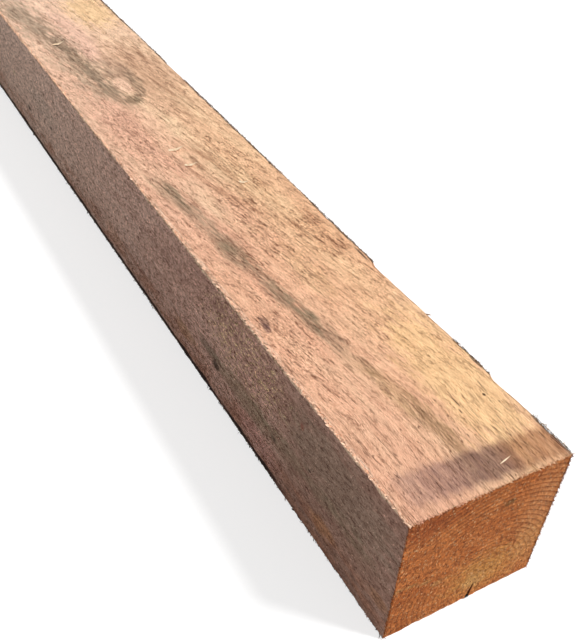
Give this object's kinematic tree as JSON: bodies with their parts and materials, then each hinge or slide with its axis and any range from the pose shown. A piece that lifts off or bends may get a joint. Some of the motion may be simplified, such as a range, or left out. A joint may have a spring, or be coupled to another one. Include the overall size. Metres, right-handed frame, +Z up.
{
  "type": "fence post",
  "caption": "Square rough-sawn softwood fence post with sharp arrises, butt-cut ends, a drying check in one end and a torn arris.",
  "frame": {"origin": "middle of the face that the post lies on", "axes": "+X along the post towards the butt end with the check, +Y across the post, +Z up from the face it lies on"},
  "size_m": [1.8, 0.1, 0.1],
  "materials": {
    "sawn_timber": "rough sawn, brown preservative treatment"
  },
  "bodies": {
    "root": {"fence_post": "sawn_timber"}
  },
  "joints": []
}
